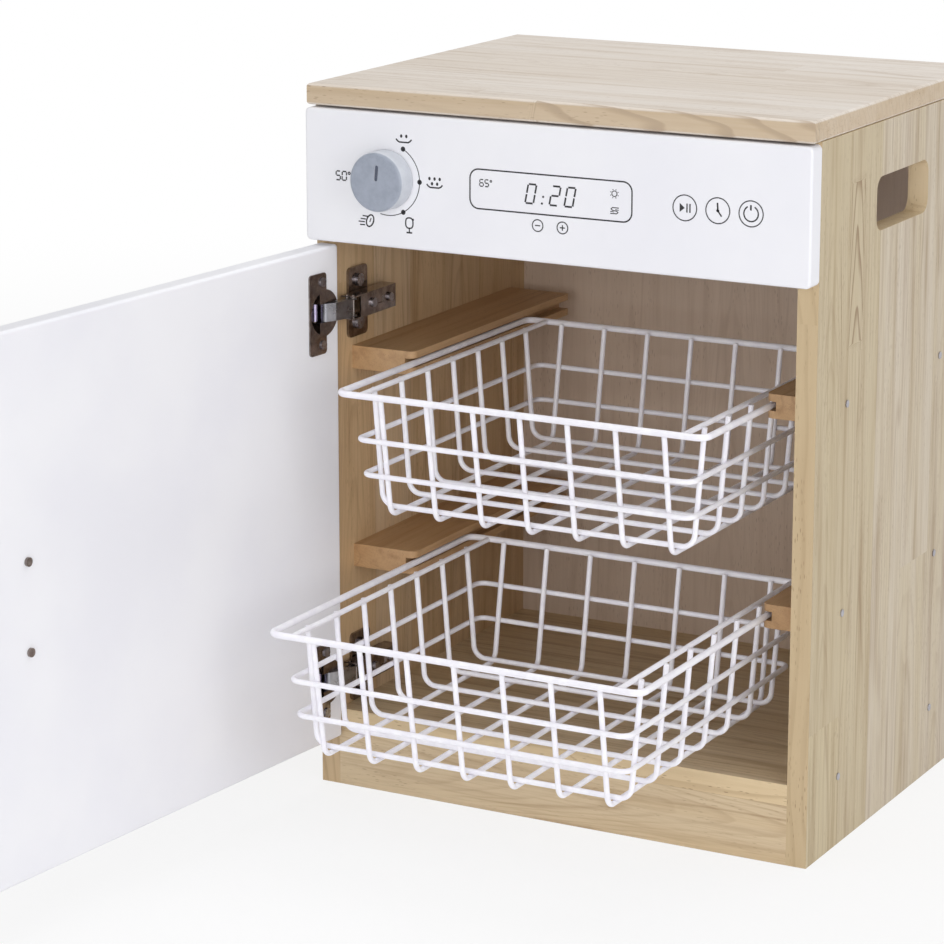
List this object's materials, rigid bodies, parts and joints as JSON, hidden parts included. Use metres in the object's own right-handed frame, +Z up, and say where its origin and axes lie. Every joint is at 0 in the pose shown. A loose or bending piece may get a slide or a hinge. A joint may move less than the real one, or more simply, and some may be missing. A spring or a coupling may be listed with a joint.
{
  "type": "toy dishwasher",
  "caption": "Wooden play dishwasher with a white swing door on concealed hinges, a control panel with a turning knob and wire baskets that slide in grooved runners",
  "frame": {"origin": "middle of the underside of the plinth, on the floor under the front edge of the cabinet", "axes": "+X to the right as seen from the front, -Y out of the front towards the viewer, +Z up"},
  "size_m": [0.463, 0.7307, 0.55],
  "materials": {
    "light_wood": "edge-glued light hardwood, clear matt lacquer",
    "back_sheet": "thin plywood, matt",
    "runner_wood": "solid light hardwood, clear matt lacquer",
    "white_lacquer": "white satin lacquer on board",
    "knob_grey": "blue-grey satin paint",
    "white_wire": "white powder coat on steel wire",
    "link_steel": "zinc-plated steel",
    "screw_steel": "zinc-plated steel",
    "nickel_steel": "nickel-plated steel"
  },
  "bodies": {
    "cabinet": {"back_panel": "back_sheet", "bottom_board": "light_wood", "case_screws": "screw_steel", "control_fascia": "white_lacquer", "hinge_arm_lower": "nickel_steel", "hinge_arm_pins": "nickel_steel", "hinge_arm_upper": "nickel_steel", "hinge_clamp_screws": "nickel_steel", "knob_spindle": "nickel_steel", "mounting_plate_lower": "nickel_steel", "mounting_plate_screws": "nickel_steel", "mounting_plate_upper": "nickel_steel", "plinth": "light_wood", "runner_lower_left": "runner_wood", "runner_lower_right": "runner_wood", "runner_upper_left": "runner_wood", "runner_upper_right": "runner_wood", "side_panel_left": "light_wood", "side_panel_right": "light_wood", "top_board": "light_wood"},
    "door": {"door_panel": "white_lacquer", "door_handle": "nickel_steel", "handle_screws": "nickel_steel", "hinge_cup_upper": "nickel_steel", "hinge_cup_lower": "nickel_steel", "cup_screws": "nickel_steel", "cup_pins": "nickel_steel", "cup_sleeves": "link_steel"},
    "outer_links": {"outer_link_upper": "nickel_steel", "outer_link_lower": "nickel_steel"},
    "inner_links": {"inner_link_upper": "link_steel", "inner_link_lower": "link_steel"},
    "knob": {"program_knob": "knob_grey"},
    "upper_basket": {"upper_basket_cross_wires": "white_wire", "upper_basket_hoops": "white_wire", "upper_basket_long_wires": "white_wire", "upper_basket_rim": "white_wire", "upper_basket_side_wires": "white_wire"},
    "lower_basket": {"lower_basket_cross_wires": "white_wire", "lower_basket_hoops": "white_wire", "lower_basket_long_wires": "white_wire", "lower_basket_rim": "white_wire", "lower_basket_side_wires": "white_wire"}
  },
  "joints": [
    {"name": "outer_link_pivot", "type": "hinge", "parent": "cabinet", "child": "outer_links", "pos_m": [-0.177, -0.002, 0.2345], "axis": [0, 0, 1], "range_deg": [-4.94, 2.91]},
    {"name": "door_hinge", "type": "hinge", "parent": "outer_links", "child": "door", "pos_m": [-0.18767, -0.01991, 0.2345], "axis": [0, 0, 1], "range_deg": [-12.9, 21.93]},
    {"name": "inner_link_pivot", "type": "hinge", "parent": "cabinet", "child": "inner_links", "pos_m": [-0.182, -0.003, 0.2345], "axis": [0, 0, 1], "range_deg": [-4.94, 2.91]},
    {"name": "knob_turn", "type": "hinge", "parent": "cabinet", "child": "knob", "pos_m": [-0.1345, -0.0245, 0.4835], "axis": [0, -1, 0], "continuous": true},
    {"name": "upper_basket_slide", "type": "slide", "parent": "cabinet", "child": "upper_basket", "axis": [0, -1, 0], "range_m": [-0.089, 0.12]},
    {"name": "lower_basket_slide", "type": "slide", "parent": "cabinet", "child": "lower_basket", "axis": [0, -1, 0], "range_m": [-0.187, 0.022]}
  ],
  "couplings": [
    {"joint": "outer_link_pivot", "follows": "door_hinge", "ratio": -0.22481},
    {"joint": "inner_link_pivot", "follows": "door_hinge", "ratio": -0.22481}
  ]
}
